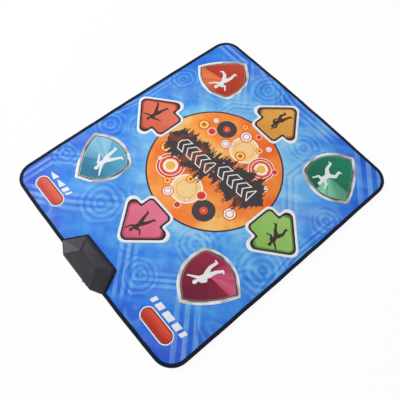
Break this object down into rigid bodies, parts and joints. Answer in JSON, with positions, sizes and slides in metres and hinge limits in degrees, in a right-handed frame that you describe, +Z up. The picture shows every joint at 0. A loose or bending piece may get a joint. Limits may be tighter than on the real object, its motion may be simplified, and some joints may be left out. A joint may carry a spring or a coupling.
{
  "type": "dance mat controller",
  "caption": "Soft layered dance mat with arrow, shield and pill press pads under a printed cover, a bound edge and a rigid control box with switch, socket and battery bay.",
  "frame": {"origin": "middle of the mat's underside, on the floor", "axes": "+Z up, +Y towards the control box at the mat's far edge, +X to the player's right"},
  "size_m": [0.798, 0.9518, 0.0298],
  "materials": {
    "anti_slip": "matte, fine dimples",
    "foam": "matte foam sheet",
    "film": "clear film with printed tracks",
    "contact_patch": "carbon print on film",
    "printed_vinyl": "soft vinyl, blue print under a clear skin",
    "edge_tape": "woven tape, stitched",
    "box_plastic": "satin moulded plastic",
    "floor_plastic": "fine texture",
    "dark_plastic": "moulded",
    "knob_plastic": "moulded",
    "connector_plastic": "moulded",
    "inlay": "thin smoked inlay, bare",
    "steel": "zinc plated",
    "plated": "nickel plated",
    "board": "solder mask",
    "sleeve": "shrink sleeve",
    "cell_sleeve": "shrink sleeve, bare",
    "print_up": "printed vinyl",
    "print_left": "printed vinyl",
    "print_down": "printed vinyl",
    "print_right": "printed vinyl",
    "print_up_right": "printed vinyl",
    "print_up_left": "printed vinyl",
    "print_down_left": "printed vinyl",
    "print_down_right": "printed vinyl",
    "print_start": "printed vinyl",
    "print_select": "printed vinyl"
  },
  "bodies": {
    "mat": {"av_socket": "dark_plastic", "base_sheet": "anti_slip", "battery_cell_1": "cell_sleeve", "battery_cell_2": "cell_sleeve", "battery_cell_3": "cell_sleeve", "battery_spring_1": "plated", "battery_spring_2": "plated", "battery_spring_3": "plated", "board_screw_1": "steel", "board_screw_2": "steel", "capacitor": "sleeve", "case_screw_1": "steel", "case_screw_2": "steel", "case_screw_3": "steel", "case_screw_4": "steel", "circuit_board": "board", "contact_plate_1": "plated", "contact_plate_2": "plated", "contact_plate_3": "plated", "contact_plate_4": "plated", "controller_chip": "dark_plastic", "cover_sheet": "printed_vinyl", "crystal": "plated", "edge_binding": "edge_tape", "film_connector": "connector_plastic", "film_tail": "film", "foam_core": "foam", "lower_film": "film", "lower_shell": "floor_plastic", "spacer_foam": "foam", "switch_body": "dark_plastic", "top_panel": "inlay", "upper_film": "film", "upper_shell": "box_plastic"},
    "press_up": {"pad_up": "print_up", "contact_up": "contact_patch"},
    "press_left": {"pad_left": "print_left", "contact_left": "contact_patch"},
    "press_down": {"pad_down": "print_down", "contact_down": "contact_patch"},
    "press_right": {"pad_right": "print_right", "contact_right": "contact_patch"},
    "press_up_right": {"pad_up_right": "print_up_right", "contact_up_right": "contact_patch"},
    "press_up_left": {"pad_up_left": "print_up_left", "contact_up_left": "contact_patch"},
    "press_down_left": {"pad_down_left": "print_down_left", "contact_down_left": "contact_patch"},
    "press_down_right": {"pad_down_right": "print_down_right", "contact_down_right": "contact_patch"},
    "press_start": {"pad_start": "print_start", "contact_start": "contact_patch"},
    "press_select": {"pad_select": "print_select", "contact_select": "contact_patch"},
    "switch": {"switch_knob": "knob_plastic"},
    "door": {"battery_door": "floor_plastic"}
  },
  "joints": [
    {"name": "press_up", "type": "slide", "parent": "mat", "child": "press_up", "axis": [0, 0, -1], "range_m": [0, 0.0022], "stiffness_N_per_m": 3000, "springref_m": -0.0005},
    {"name": "press_left", "type": "slide", "parent": "mat", "child": "press_left", "axis": [0, 0, -1], "range_m": [0, 0.0022], "stiffness_N_per_m": 3000, "springref_m": -0.0005},
    {"name": "press_down", "type": "slide", "parent": "mat", "child": "press_down", "axis": [0, 0, -1], "range_m": [0, 0.0022], "stiffness_N_per_m": 3000, "springref_m": -0.0005},
    {"name": "press_right", "type": "slide", "parent": "mat", "child": "press_right", "axis": [0, 0, -1], "range_m": [0, 0.0022], "stiffness_N_per_m": 3000, "springref_m": -0.0005},
    {"name": "press_up_right", "type": "slide", "parent": "mat", "child": "press_up_right", "axis": [0, 0, -1], "range_m": [0, 0.0022], "stiffness_N_per_m": 3000, "springref_m": -0.0005},
    {"name": "press_up_left", "type": "slide", "parent": "mat", "child": "press_up_left", "axis": [0, 0, -1], "range_m": [0, 0.0022], "stiffness_N_per_m": 3000, "springref_m": -0.0005},
    {"name": "press_down_left", "type": "slide", "parent": "mat", "child": "press_down_left", "axis": [0, 0, -1], "range_m": [0, 0.0022], "stiffness_N_per_m": 3000, "springref_m": -0.0005},
    {"name": "press_down_right", "type": "slide", "parent": "mat", "child": "press_down_right", "axis": [0, 0, -1], "range_m": [0, 0.0022], "stiffness_N_per_m": 3000, "springref_m": -0.0005},
    {"name": "press_start", "type": "slide", "parent": "mat", "child": "press_start", "axis": [0, 0, -1], "range_m": [0, 0.0022], "stiffness_N_per_m": 3000, "springref_m": -0.0005},
    {"name": "press_select", "type": "slide", "parent": "mat", "child": "press_select", "axis": [0, 0, -1], "range_m": [0, 0.0022], "stiffness_N_per_m": 3000, "springref_m": -0.0005},
    {"name": "power_switch", "type": "slide", "parent": "mat", "child": "switch", "axis": [1, 0, 0], "range_m": [0, 0.004]},
    {"name": "battery_door_hinge", "type": "hinge", "parent": "mat", "child": "door", "pos_m": [0, 0.4138, 0.0013], "axis": [-1, 0, 0], "range_deg": [0, 100]}
  ]
}
